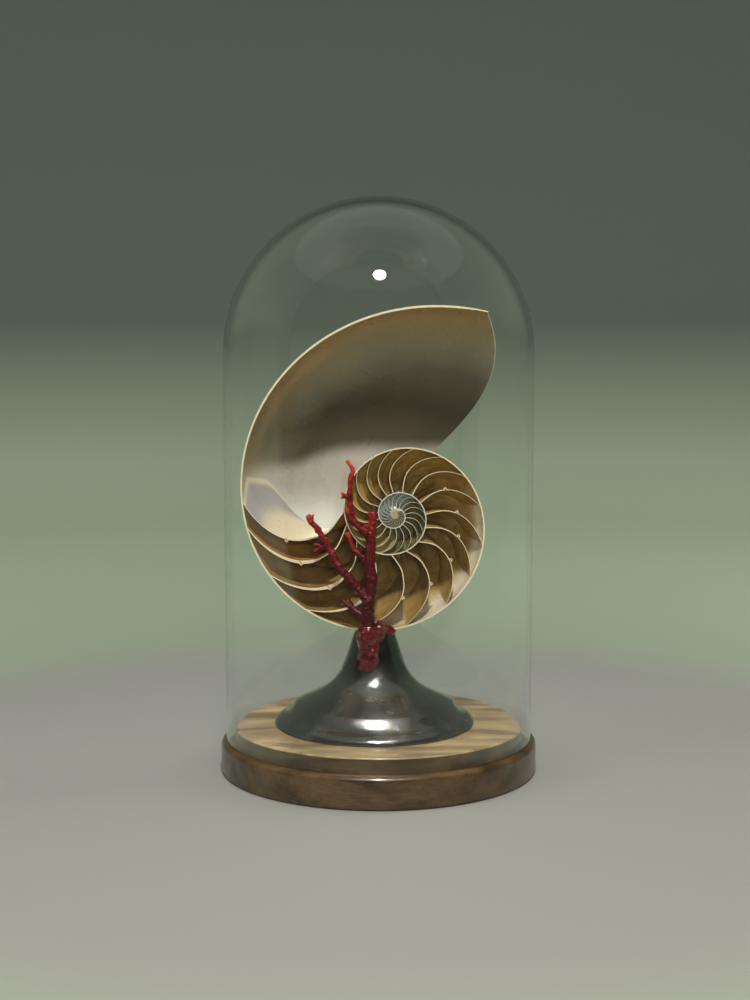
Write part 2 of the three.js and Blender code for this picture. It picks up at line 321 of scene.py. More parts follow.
def buildBase():
    b = base
    radius, ledge, top = b["radius"], b["ledgeHeight"], b["discHeight"]
    profile = [(0, 0)]
    profile += arcPoints((radius - b["footRound"], b["footRound"]), b["footRound"], -90, 0, 5)
    profile += arcPoints((radius - b["lipRound"], ledge - b["lipRound"]), b["lipRound"], 0, 90, 9)
    profile += [(b["grooveRadius"], ledge), (b["discRadius"] + 0.6, ledge - 0.5), (b["discRadius"], ledge)]
    profile += arcPoints((b["discRadius"] - b["discRound"], top - b["discRound"]), b["discRound"], 0, 90, 6)
    profile += [(60, top), (40, top), (20, top), (0, top)]
    # The ledge, the plinth and the disc's edge get a wood about four times darker than the top face: partly
    # the wood's own tone, partly painted shade on the faces turned from the top light.
    sideWoodWithShade = makeWood("sideWoodWithShade", (0.026, 0.014, 0.005), (0.095, 0.056, 0.022), 0.30, 0.5)
    discWood = makeWood("discWood", (0.115, 0.068, 0.032), (0.42, 0.30, 0.16), 0.38, 0.25)
    piece = newObject("turned_wood_base", turnedMesh(profile, steps=192), (sideWoodWithShade, discWood))
    for face in piece.data.polygons:
        face.material_index = 1 if face.center.z > (top - 1) * mm else 0
    finishPiece(piece, ["wood_base"])


buildBase()

# Metal foot

foot = {
    "centre": (-2.2, -0.5),
    "neck": [(10.0, 72.6), (10.9, 71.2), (12.2, 67.5), (14.0, 62.0), (16.0, 56.0), (18.5, 51.0),
             (22.0, 46.5), (26.5, 42.9), (31.5, 40.1), (36.5, 37.7), (41.2, 35.4)],
    "roll": [(41.2, 35.4), (42.2, 34.4), (44.0, 32.3), (45.6, 30.6), (47.4, 29.4), (49.6, 28.4),
             (51.4, 27.1), (52.3, 25.9)],
    "rim": [(52.4, 25.5), (52.0, 25.1), (51.6, 25.0), (51.6, 24.8), (52.2, 24.7), (52.2, 24.5)],
}


def makeMetal():
    material, tree, shader = newMaterial("polishedMetal", metallic=1.0)
    cloud = noiseNode(tree, objectPoint(tree), 24.0, 5.0, 0.6)
    steel = mixColour(tree, rangeNode(tree, cloud, 0.3, 0.75), (0.22, 0.225, 0.22), (0.36, 0.36, 0.35))
    tarnish = noiseNode(tree, objectPoint(tree), 75.0, 6.0, 0.7, 0.8)
    aged = mixColour(tree, rangeNode(tree, tarnish, 0.60, 0.74, 0.0, 0.5), steel, (0.16, 0.13, 0.09))
    tree.links.new(aged, shader.inputs["Base Color"])
    marks = placeGroup(tree, smudges, Scale=42.0, Amount=0.16)
    fine = placeGroup(tree, smudges, Scale=260.0, Amount=0.07)
    gloss = mathNode(tree, "ADD", mathNode(tree, "ADD", marks.outputs[0], fine.outputs[0]), 0.10)
    tree.links.new(gloss, shader.inputs["Roughness"])
    rings = noiseNode(tree, objectPoint(tree, scale=(1, 1, 9)), 160.0, 4.0, 0.6)
    tree.links.new(bumpNode(tree, rings, 0.10, 0.10 * mm), shader.inputs["Normal"])
    return material


def buildFoot():
    neck = [(x, y) for x, y, _ in smoothPath([(*p, 0) for p in foot["neck"]], 5)]
    roll = [(x, y) for x, y, _ in smoothPath([(*p, 0) for p in foot["roll"]], 4)]
    profile = [(0, 72.6), (6, 72.6)] + neck + roll[1:] + foot["rim"] + [(30, 24.5), (0, 24.5)]
    bm = turnedMesh(profile, foot["centre"], 160)
    finishPiece(newObject("trumpet_foot", bm, (makeMetal(),)), ["metal_foot"], 28)


buildFoot()

# Nautilus shell: a point of it has a turn, the angle back from the lip towards the heart of the coil,
# a reach, which is its whorl's radius there, and a side, from 0 on the cut face to 1 at the navel

shell = {
    "axis": (8.9, 133.9),  # x and z of the coil's axis, which runs along y
    "cutY": -4,
    "lipAngle": math.radians(65.8),
    "halfWidth": 0.36,
    "shoulder": 0.42,
    "lipBulge": math.radians(14.5),
    "bulgeEnd": math.radians(59),
    "septa": [128, 142.5, 163, 184.5, 209.5, 232, 256, 277, 298.5, 323.5, 347, 369.5, 392.5, 410.3, 428.6],
    "innerSpacing": 19.5,
    "lastSeptum": 1080,
    "deepUntil": 369,  # from here inwards the chambers are cut less far towards the navel
    "heartFrom": 560,  # from here inwards they have the heart finish, silver on one side partly as a painted reflection
    "callusHeight": 24,
    "callusRadius": 16,
}
finishOf = {"outside": 0, "cutEdge": 1, "livingChamber": 2, "chamber": 3, "heart": 4}  # a face's material


def whorlRadius(turn):
    return math.exp(4.7466 - 0.19237 * turn + 0.002846 * turn**2 - 0.0001128 * turn**3)


def wallThickness(turn):
    thin = lerp(0.45, 1, smoothStep(turn, -0.02, 0.16))  # the lip is worn thin
    return (0.45 + 0.0062 * whorlRadius(turn)) * thin


def septumThickness(middle, across, side):
    order = math.degrees(middle)
    thick = 1.55 * smoothStep(order, 130, 142) * (1 - smoothStep(order, 186, 212))
    outerHalf = smoothStep(across, 0.40, 0.60) * (1 - 0.5 * smoothStep(across, 0.85, 1.0))
    return 0.17 + 0.0068 * whorlRadius(middle) + thick * outerHalf * math.exp(-((side / 0.2) ** 2))


def section(side):  # the whorl's outline for a radius of 1: distance from the axis, depth
    angle = side * math.radians(165)
    if angle <= math.pi / 2:
        across = shell["shoulder"] + (1 - shell["shoulder"]) * math.cos(angle)
        return across, shell["halfWidth"] * math.sin(angle) ** 0.9
    return shell["shoulder"] * (1 + math.cos(angle)), shell["halfWidth"] * math.sin(angle) ** 0.5


def sectionNormal(side):
    if side <= 0:
        return 1, 0
    before, after = section(max(side - 0.01, 0)), section(min(side + 0.01, 1))
    edge = Vector((after[0] - before[0], after[1] - before[1])).normalized()
    return edge.y, -edge.x


def callusDepth(fromAxis):  # the plug that closes the navel on the outside
    inside = max(1 - (fromAxis / shell["callusRadius"]) ** 3.2, 0)
    return shell["callusHeight"] * inside**0.6


def shellPoint(turn, reach, side, inset=0, callus=False):
    across, depth = section(max(side, 0))
    normalAcross, normalDepth = sectionNormal(side)
    direction = shell["lipAngle"] + turn
    fromAxis = reach * across - inset * normalAcross
    behind = reach * depth - inset * normalDepth
    if callus:
        plug = callusDepth(abs(fromAxis))
        fade = smoothStep(fromAxis, shell["callusRadius"] + 6, 4)
        behind = lerp(behind, (behind + plug + math.hypot(behind - plug, 3)) / 2 - 0.5, fade)
    front = 3 if side < 0 else 0  # cutters stand out of the cut face
    x = shell["axis"][0] + fromAxis * math.cos(direction)
    z = shell["axis"][1] + fromAxis * math.sin(direction)
    return Vector((x, shell["cutY"] + behind - front, z)) * mm


def lipTurn(side):
    return -shell["lipBulge"] * math.sin(math.pi * min(max(side, 0) * 1.06, 1)) ** 2


def septumSweep(middle, across, side):  # a septum is a bowl, hollow towards the lip
    order = math.degrees(middle)
    navel = min(side / 0.85, 1)
    first = 1 - smoothStep(order, 128, 142)
    sideRise = (26 + 5 * first) * smoothStep(section(max(side, 0))[0], 0.5, 0.88) - 3
    cutRise = lerp(23, 18.5, first)
    outerRise = lerp(cutRise, sideRise, min(side * lerp(6, 12, first), 1))
    backRise = lerp(lerp(18, 11, smoothStep(order, 128, 210)), 2, smoothStep(order, 258, 290))
    lowest = lerp(0.42, 0.27, smoothStep(order, 180, 300))
    outward = max((across - lowest) / (1 - lowest), 0) ** 2
    inward = max((0.3 - across) / 0.3, 0) ** 2
    floor = lerp(-1.5, -3, navel**2)
    inner = (backRise * (1 - navel) - floor) * inward
    return -math.radians(floor + (outerRise - floor) * outward + inner)


def reachAt(turn, across):  # between the inner whorl's outside (0) and the outer wall (1)
    return lerp(whorlRadius(turn + fullTurn), whorlRadius(turn), across)


def septumFace(middle, across, side, towards):  # the turn of its front face (-1) or its back face (1)
    turn = middle + septumSweep(middle, across, side)
    fromAxis = reachAt(turn, across) * max(section(max(side, 0))[0], 0.15)
    return turn + towards * septumThickness(middle, across, max(side, 0)) / 2 / fromAxis


def septumAngles():
    angles = list(shell["septa"])
    while angles[-1] + shell["innerSpacing"] < shell["lastSeptum"]:
        angles.append(angles[-1] + shell["innerSpacing"])
    return [math.radians(angle) for angle in angles]


def setCoil(bm, verts, values):  # keeps (growth turn, across, side) on the faces' corners
    layer = bm.loops.layers.float_vector.get("coil") or bm.loops.layers.float_vector.new("coil")
    for vert in verts:
        for loop in vert.link_loops:
            loop[layer] = values[vert.index]


def whorlSurface(turnSteps=180, sideSteps=48):
    bm = bmesh.new()
    bmesh.ops.create_grid(bm, x_segments=turnSteps, y_segments=sideSteps, size=0.5)
    bm.verts.index_update()
    starts, ends, coil = set(), set(), {}
    for vert in bm.verts:
        along, side = vert.co.x + 0.5, vert.co.y + 0.5
        if along < 0.001:
            starts.add(vert)
        if along > 0.999:
            ends.add(vert)
        bulgeLeft = max(1 - along * fullTurn / shell["bulgeEnd"], 0) ** 1.5
        turn = along * fullTurn + lipTurn(side) * bulgeLeft
        coil[vert.index] = (turn - lipTurn(side), 1, side)
        vert.co = shellPoint(turn, whorlRadius(turn), side, callus=True)
    setCoil(bm, bm.verts, coil)
    rims = [e for e in bm.edges if set(e.verts) <= starts or set(e.verts) <= ends]
    bmesh.ops.bridge_loops(bm, edges=rims)
    bmesh.ops.holes_fill(bm, edges=[e for e in bm.edges if e.is_boundary], sides=0)
    bmesh.ops.triangulate(bm, faces=[f for f in bm.faces if len(f.verts) > 4])
    bmesh.ops.recalc_face_normals(bm, faces=bm.faces)
    return bm


def latticeBlock(bm, across, sides, turns):  # a closed block of unit cells; returns its vertices
    made = bmesh.ops.create_grid(bm, x_segments=across, y_segments=sides, size=0.5)["verts"]
    for vert in made:
        vert.co = ((vert.co.x + 0.5) * across, (vert.co.y + 0.5) * sides, 0)
    faces = list({face for vert in made for face in vert.link_faces})
    verts = list(made)
    for layer in range(turns):
        grown = bmesh.ops.extrude_face_region(bm, geom=faces)["geom"]
        if layer:
            bmesh.ops.delete(bm, geom=faces, context="FACES")
        faces = [g for g in grown if isinstance(g, bmesh.types.BMFace)]
        raised = [g for g in grown if isinstance(g, bmesh.types.BMVert)]
        bmesh.ops.translate(bm, verts=raised, vec=(0, 0, 1))
        verts += raised
    return [vert for vert in verts if vert.is_valid]


def addHollow(bm, front, back, navelSide, cells, finish):  # the space between two septa
    acrossCells, sideCells, turnCells = cells
    beyondLip = -0.45
    volume = bm.calc_volume(signed=True)
    verts = latticeBlock(bm, acrossCells, sideCells + 1, turnCells)
    bm.verts.index_update()
    coil = {}
    for vert in verts:
        across, along = vert.co.x / acrossCells, vert.co.z / turnCells
        row = round(vert.co.y) - 1
        side = -1 if row < 0 else row / sideCells * navelSide
        start = beyondLip if front is None else septumFace(front, across, side, 1)
        turn = lerp(start, septumFace(back, across, side, -1), along)
        lift = 0.04 + 0.3 * smoothStep(-turn, 0, 0.06) if turn < 0 else 0
        inner = whorlRadius(turn + fullTurn) + lift
        reach = lerp(inner, whorlRadius(turn), across)
        coil[vert.index] = (turn - lipTurn(side), across, max(side, 0))
        vert.co = shellPoint(turn, reach, side, across * wallThickness(turn))
    setCoil(bm, verts, coil)
    faces = list({face for vert in verts for face in vert.link_faces})
    for face in faces:
        face.material_index = finishOf[finish]
    bmesh.ops.recalc_face_normals(bm, faces=faces)
    if bm.calc_volume(signed=True) < volume:
        bmesh.ops.reverse_faces(bm, faces=faces)


def chamberCutters():
    bm = bmesh.new()
    septa = septumAngles()
    addHollow(bm, None, septa[0], 0.85, (26, 30, 56), "livingChamber")
    for front, back in zip(septa, septa[1:]):
        if front < math.radians(shell["deepUntil"]):
            addHollow(bm, front, back, 0.85, (26, 20, 6), "chamber")
        elif front < math.radians(shell["heartFrom"]):
            addHollow(bm, front, back, 0.6, (18, 12, 5), "chamber")
        else:
            addHollow(bm, front, back, 0.6, (14, 7, 3), "heart")
    return bm


def neckPlaces():  # where the siphuncle's neck stands on each opened septum, with its direction
    for middle in septumAngles()[:10]:
        across = lerp(0.64, 0.53, (math.degrees(middle) - 128) / 195)
        turn = middle + septumSweep(middle, across, 0)
        place = shellPoint(turn, reachAt(turn, across), 0)
        direction = shell["lipAngle"] + turn
        back = Vector((-math.sin(direction), 0, math.cos(direction)))
        size = (whorlRadius(turn) - whorlRadius(turn + fullTurn)) / 50
        yield place, back, min(size, 0.62)


def coneAlong(bm, place, back, start, length, radii, segments=18):
    turn = Vector((0, 0, 1)).rotation_difference(back).to_matrix().to_4x4()
    middle = place + back * (start + length / 2) * mm
    bmesh.ops.create_cone(bm, cap_ends=True, segments=segments, radius1=radii[0] * mm,
                          radius2=radii[1] * mm, depth=length * mm,
                          matrix=Matrix.Translation(middle) @ turn)


def neckMesh():
    bm = bmesh.new()
    for place, back, size in neckPlaces():
        coneAlong(bm, place, back, 0.1 * size, 2.4 * size, (1.9 * size, 0.75 * size))
    plane = Vector((0, (shell["cutY"] + 0.02) * mm, 0))
    everything = list(bm.verts) + list(bm.edges) + list(bm.faces)
    bmesh.ops.bisect_plane(bm, geom=everything, plane_co=plane, plane_no=(0, -1, 0), clear_outer=True)
    bmesh.ops.holes_fill(bm, edges=[e for e in bm.edges if e.is_boundary], sides=0)
    bmesh.ops.recalc_face_normals(bm, faces=bm.faces)
    for face in bm.faces:
        face.material_index = finishOf["cutEdge"]
    return bm


def makeOutside():
    material, tree, shader = newMaterial("porcelainOutside", coat=0.25, coatRoughness=0.25)
    coil, turn, _, side = coilParts(tree)
    lines = placeGroup(tree, growthLines, Lines=110.0, Waver=0.03)
    stretched = addNode(tree, "Mapping", {"Vector": coil, "Scale": (2.2, 1.0, 3.4)}).outputs[0]
    wander = noiseNode(tree, stretched, 1.0, 4.0, 0.55)
    stripeTurn = mathNode(tree, "MULTIPLY", turn, 15.0)  # about fifteen flames in 360 degrees
    phase = mathNode(tree, "ADD", stripeTurn, mathNode(tree, "MULTIPLY", wander, 9.0))
    slant = mathNode(tree, "ADD", phase, mathNode(tree, "MULTIPLY", side, 3.0))
    wave = mathNode(tree, "SINE", slant)
    fray = noiseNode(tree, objectPoint(tree), 260.0, 4.0, 0.7)
    edge = mathNode(tree, "ADD", wave, mathNode(tree, "MULTIPLY", fray, 0.7))
    stripe = rangeNode(tree, edge, 0.5, 0.95)
    late = rangeNode(tree, mathNode(tree, "ADD", turn, wander), 1.5, 2.3)
    flank = rangeNode(tree, side, 0.78, 0.5)
    mask = product(tree, stripe, late, flank)
    cream = mixColour(tree, lines.outputs["Band"], (0.62, 0.52, 0.38), (0.80, 0.73, 0.60))
    rust = mixColour(tree, fray, (0.23, 0.055, 0.016), (0.42, 0.13, 0.035))
    tree.links.new(mixColour(tree, mask, cream, rust), shader.inputs["Base Color"])
    marks = placeGroup(tree, smudges, Scale=70.0, Amount=0.15)
    tree.links.new(mathNode(tree, "ADD", marks.outputs[0], 0.32), shader.inputs["Roughness"])
    tree.links.new(bumpNode(tree, lines.outputs["Height"], 0.5, 0.12 * mm), shader.inputs["Normal"])
    return material


def axisDistance(tree):  # distance from the coil's axis in the cut plane, in metres
    away = objectPoint(tree, scale=(1, 0, 1), move=(-shell["axis"][0] * mm, 0, -shell["axis"][1] * mm))
    return addNode(tree, "VectorMath", {0: away}, operation="LENGTH").outputs["Value"]


def makeCutEdge():
    material, tree, shader = newMaterial("cutEdge", coat=0.2, coatRoughness=0.2)
    distance = axisDistance(tree)
    grain = noiseNode(tree, objectPoint(tree), 420.0, 4.0, 0.6)
    cream = mixColour(tree, grain, (0.60, 0.47, 0.31), (0.84, 0.74, 0.56))
    silver = mixColour(tree, grain, (0.45, 0.46, 0.38), (0.72, 0.72, 0.62))
    inner = rangeNode(tree, distance, 0.0155, 0.0205, 1.0, 0.0)
    core = rangeNode(tree, distance, 0.0022, 0.0034, 1.0, 0.0)
    ringed = mixColour(tree, inner, cream, silver)
    golden = mixColour(tree, grain, (0.20, 0.14, 0.06), (0.56, 0.46, 0.28))
    tree.links.new(mixColour(tree, core, ringed, golden), shader.inputs["Base Color"])
    tree.links.new(rangeNode(tree, grain, 0.3, 0.7, 0.30, 0.45), shader.inputs["Roughness"])
    tree.links.new(bumpNode(tree, grain, 0.25, 0.05 * mm), shader.inputs["Normal"])
    return material


def makeLivingChamber():
    material, tree, shader = newMaterial("livingChamber", metallic=0.15, coat=0.35, coatRoughness=0.16)
    coil, _, across, side = coilParts(tree)
    place = addNode(tree, "SeparateXYZ", {0: objectPoint(tree)}).outputs
    cloud = noiseNode(tree, objectPoint(tree), 26.0, 4.0, 0.55)
    shift = mathNode(tree, "MULTIPLY", mathNode(tree, "SUBTRACT", cloud, 0.5), 0.14)
    # Brown at the cut face going dark deeper in: partly the nacre's tone, mostly a painted dark reflection.
    edgeToneAndDarkReflection = rampNode(tree, mathNode(tree, "ADD", side, shift), [
        (0.0, (0.34, 0.21, 0.09)), (0.13, (0.28, 0.18, 0.08)), (0.20, (0.20, 0.16, 0.085)),
        (0.30, (0.145, 0.130, 0.08)), (0.39, (0.080, 0.066, 0.043)), (0.80, (0.070, 0.058, 0.038))])
    # Painted light: the band is made up to 1.7 times brighter towards the top, which the lamps reach less.
    lit = scaled(tree, edgeToneAndDarkReflection, rangeNode(tree, place[2], 0.175, 0.215, 1.0, 1.7))
    sag = rangeNode(tree, place[0], -0.050, -0.016, 0.009, 0.0)
    height = mathNode(tree, "ADD", place[2], sag)
    drift = mathNode(tree, "ADD", height, mathNode(tree, "MULTIPLY", shift, 0.03))
    stretched = addNode(tree, "Mapping", {"Vector": coil, "Scale": (0.6, 1.0, 26.0)}).outputs[0]
    rays = noiseNode(tree, stretched, 1.0, 3.0, 0.6)
    pearl = mixColour(tree, rays, (0.36, 0.31, 0.28), (0.50, 0.465, 0.42))
    # Painted highlight: the pearl turns to a pale glint towards the bottom.
    pearlWithPaintedGlint = mixColour(tree, rangeNode(tree, place[2], 0.150, 0.125), pearl, (0.68, 0.69, 0.64))
    # Painted reflection: below a near-level line, standing for a reflected horizon, the wall turns from the
    # dark band to pearl.
    low = rangeNode(tree, drift, 0.161, 0.172, 1.0, 0.0)
    nearEdge = mixColour(tree, rangeNode(tree, side, 0.08, 0.24, 1.0, 0.0), pearlWithPaintedGlint, (0.42, 0.33, 0.22))
    wall = mixColour(tree, low, lit, nearEdge)
    onSeptum = product(tree, rangeNode(tree, across, 0.997, 0.99), rangeNode(tree, side, 0.84, 0.80))
    # Painted shade: a purple-grey band on the septum face beside its crease with the outer wall.
    stripe = product(tree, rangeNode(tree, across, 0.78, 0.90), rangeNode(tree, across, 0.985, 0.96))
    bowl = mixColour(tree, stripe, (0.62, 0.52, 0.38), (0.33, 0.30, 0.31))
    colour = mixColour(tree, onSeptum, wall, bowl)
    lines = placeGroup(tree, growthLines, Lines=60.0, Waver=0.02)
    faint = rangeNode(tree, lines.outputs["Height"], 0.3, 0.7, 0.96, 1.03)
    tree.links.new(scaled(tree, colour, faint), shader.inputs["Base Color"])
    tree.links.new(rangeNode(tree, cloud, 0.3, 0.7, 0.24, 0.34), shader.inputs["Roughness"])
    return material


def makeChamber():
    material, tree, shader = newMaterial("amberChamber", metallic=0.15, coat=0.4, coatRoughness=0.2)
    coil, turn, across, side = coilParts(tree)
    stretched = addNode(tree, "Mapping", {"Vector": coil, "Scale": (4, 3, 7)}).outputs[0]
    streaks = noiseNode(tree, stretched, 1.0, 4.0, 0.6, 0.6)
    tone = rampNode(tree, mathNode(tree, "DIVIDE", turn, 10.0), [
        (0.235, (0.42, 0.17, 0.03)), (0.262, (0.22, 0.11, 0.035)), (0.34, (0.28, 0.17, 0.05)),
        (0.46, (0.38, 0.24, 0.075)), (0.62, (0.46, 0.29, 0.075)), (0.80, (0.52, 0.35, 0.10)),
        (0.98, (0.46, 0.38, 0.20))])
    # Painted shade: the tone darkens deeper into each chamber, towards the navel side.
    toneWithPaintedShade = mixColour(tree, rangeNode(tree, side, 0.05, 0.6), tone, (0.15, 0.08, 0.015))
    streaked = mixColour(tree, rangeNode(tree, streaks, 0.35, 0.7, 0.0, 0.4), toneWithPaintedShade, (0.54, 0.38, 0.16))
    # Painted light: pale cream patches on the outer wall of the lower chambers near the cut, where the top
    # light falls.
    outerWall = product(tree, rangeNode(tree, across, 0.985, 0.999), rangeNode(tree, side, 0.28, 0.14))
    lower = product(tree, rangeNode(tree, turn, 3.3, 3.9), rangeNode(tree, turn, 5.7, 5.1))
    pale = product(tree, outerWall, lower, 0.85)
    tree.links.new(mixColour(tree, pale, streaked, (0.74, 0.66, 0.52)), shader.inputs["Base Color"])
    tree.links.new(rangeNode(tree, streaks, 0.3, 0.7, 0.24, 0.38), shader.inputs["Roughness"])
    return material


def makeHeart():
    material, tree, shader = newMaterial("heartSilverAndPaintedReflection", metallic=0.35, coat=0.5, coatRoughness=0.15)
    place = addNode(tree, "SeparateXYZ", {0: objectPoint(tree)}).outputs
    leaning = mathNode(tree, "SUBTRACT", place[0], place[2])
    cloud = noiseNode(tree, objectPoint(tree), 220.0, 4.0, 0.6)
    shifted = mathNode(tree, "ADD", leaning, mathNode(tree, "MULTIPLY", cloud, 0.006))
    # The upper-left side is silver, the lower-right olive: the olive is the chambers' tone, the silver partly
    # the nacre's colour, partly a painted reflection.
    rightSide = rangeNode(tree, shifted, -0.128, -0.117)
    silver = mixColour(tree, cloud, (0.36, 0.38, 0.37), (0.58, 0.59, 0.55))
    olive = mixColour(tree, cloud, (0.14, 0.11, 0.04), (0.32, 0.27, 0.13))
    tree.links.new(mixColour(tree, rightSide, silver, olive), shader.inputs["Base Color"])
    tree.links.new(rangeNode(tree, cloud, 0.3, 0.7, 0.2, 0.35), shader.inputs["Roughness"])
    return material


def buildShell():
    materials = (makeOutside(), makeCutEdge(), makeLivingChamber(), makeChamber(), makeHeart())
    piece = newObject("nautilus_half", whorlSurface(), materials)
    print("shell: outside made")
    combine(piece, newObject("hollows", chamberCutters(), materials), "DIFFERENCE")
    print("shell: chambers cut")
    combine(piece, newObject("necks", neckMesh(), materials), "UNION")
    bores = bmesh.new()
    for place, back, size in neckPlaces():
        coneAlong(bores, place, back, -2.2 * size, 5.2 * size, (0.42 * size, 0.42 * size), 10)
    for face in bores.faces:
        face.material_index = finishOf["chamber"]
    combine(piece, newObject("bores", bores, materials), "DIFFERENCE")
    print("shell: siphuncle made")
    mesh = piece.data
    for face in mesh.polygons:
        if face.normal.y < -0.999 and abs(face.center.y - shell["cutY"] * mm) < 0.03 * mm:
            face.material_index = finishOf["cutEdge"]
    bm = bmesh.new()
    bm.from_mesh(mesh)
    bmesh.ops.dissolve_degenerate(bm, dist=0.0005 * mm, edges=bm.edges)
    bm.to_mesh(mesh)
    bm.free()
    finishPiece(piece, ["nautilus_shell_half"], 40)


buildShell()

# Coral

coral = {
    "voxel": 0.36,
    "branches": [  # points, radius at the start, radius at the end
        ([(-6.2, -13.6, 70), (-6.2, -13.4, 76), (-5.8, -13, 83), (-5.4, -12.5, 90.5),
          (-4.6, -12.2, 95)], 3.7, 3.0),
        ([(-5.4, -12.5, 89), (-8.6, -12.2, 94.6), (-14.4, -11.5, 101.2), (-19.8, -11, 106.5),
          (-23.3, -10.5, 113.6), (-30.5, -9.5, 126), (-34.9, -9, 131.3), (-36.2, -8.6, 134.6)], 2.5, 1.35),
        ([(-5.4, -12.5, 90.5), (-3.9, -12, 98.6), (-4.5, -11.3, 109.5), (-4.2, -10.8, 118),
          (-3.7, -10.2, 127), (-3.1, -9.4, 136.4)], 3.1, 2.2),
        ([(-4.2, -10.6, 121.0), (-6.4, -10, 125.6), (-10.6, -9.7, 129), (-13.8, -9.4, 134),
          (-14.9, -9.2, 140), (-14.5, -9, 152.7), (-13.6, -8.7, 158.2), (-16.3, -8.4, 162.8)], 2.1, 1.0),
        ([(-4.5, -11, 108.0), (-8.2, -10.2, 112.7), (-12, -9, 116.4), (-14.6, -8, 121.5),
          (-15.6, -7.4, 125.6)], 1.7, 1.1),
        ([(-6, -13, 80.6), (-9.4, -12, 82.8), (-14.4, -10.6, 86.8), (-18.6, -9.4, 90.2)], 2.3, 1.1),
        ([(-26.6, -10.1, 119.2), (-30, -9.2, 117.4), (-33.4, -8.4, 116)], 1.3, 0.8),
        ([(-14.6, -9.1, 143.2), (-17.4, -8.7, 144.6), (-19.4, -8.4, 146.2)], 1.2, 0.75),
        ([(-17, -8.8, 144.4), (-18.6, -8.6, 143.6), (-19.6, -8.4, 143.4)], 0.8, 0.5),
        ([(-12.6, -9.4, 135.2), (-14.8, -9.6, 136.2), (-16.6, -9.6, 137.4)], 1.3, 0.8),
        ([(-34.2, -9, 130.4), (-34.2, -8.9, 132.8), (-33.6, -8.8, 135)], 1.2, 0.6),
        ([(-29, -9.3, 118.2), (-31.4, -8.9, 119.2), (-33.6, -8.6, 119.4)], 1.0, 0.6),
        ([(-13, -10.8, 86.4), (-14.6, -10.6, 89.6), (-15.2, -10.4, 91.8)], 1.1, 0.6),
        ([(-7.6, -9.8, 126.6), (-6.8, -10.4, 128.8), (-7.0, -10.6, 130.4)], 0.9, 0.5),
    ],
}


def addBranch(bm, points, startRadius, endRadius, seed):  # a lumpy tube; returns its middle line
    path = [p * mm for p in smoothPath(points, 9)]
    sides = 12
    rings = []
    for i, place in enumerate(path):
        ahead = (path[min(i + 1, len(path) - 1)] - path[max(i - 1, 0)]).normalized()
        sideways = ahead.cross(Vector((0.2, 1, 0.1))).normalized()
        other = ahead.cross(sideways)
        along = i / (len(path) - 1)
        radius = lerp(startRadius, endRadius, along) * mm
        ring = []
        for k in range(sides):
            angle = fullTurn * k / sides
            out = sideways * math.cos(angle) + other * math.sin(angle)
            lump = noise.noise(place * 260 + out * 0.8 + Vector((seed, 0, 0)))
            ring.append(bm.verts.new(place + out * radius * (1 + 0.20 * lump)))
        rings.append(ring)
    for lower, upper in zip(rings, rings[1:]):
        for k in range(sides):
            bm.faces.new((lower[k], lower[(k + 1) % sides], upper[(k + 1) % sides], upper[k]))
    bm.faces.new(rings[0])
    bm.faces.new(rings[-1])
    return path


def makeCoral():
    material, tree, shader = newMaterial("redCoral", specular=0.3)
    tip = addNode(tree, "Attribute", attribute_name="tip").outputs["Fac"]
    mottle = noiseNode(tree, objectPoint(tree), 420.0, 4.0, 0.6)
    uneven = mathNode(tree, "MULTIPLY", mathNode(tree, "SUBTRACT", mottle, 0.5), 0.35)
    shifted = mathNode(tree, "ADD", tip, uneven)
    # Near-black at the trunk to bright red at the tips: partly the coral's tone, partly painted shade low
    # down.
    red = rampNode(tree, shifted, [(0.0, (0.028, 0.001, 0.002)), (0.35, (0.085, 0.003, 0.005)),
                                   (0.7, (0.19, 0.010, 0.011)), (1.0, (0.46, 0.055, 0.026))])
    specks = addNode(tree, "TexVoronoi", {"Vector": objectPoint(tree), "Scale": 900.0}).outputs["Distance"]
    dots = rangeNode(tree, specks, 0.16, 0.08)
    sparse = rangeNode(tree, noiseNode(tree, objectPoint(tree), 300.0), 0.52, 0.6)
    pale = product(tree, dots, sparse, 0.55)
    tree.links.new(mixColour(tree, pale, red, (0.62, 0.22, 0.16)), shader.inputs["Base Color"])
    tree.links.new(rangeNode(tree, mottle, 0.3, 0.7, 0.3, 0.5), shader.inputs["Roughness"])
    pits = noiseNode(tree, objectPoint(tree), 1300.0, 3.0, 0.6)
    tree.links.new(bumpNode(tree, pits, 0.35, 0.12 * mm), shader.inputs["Normal"])
    return material


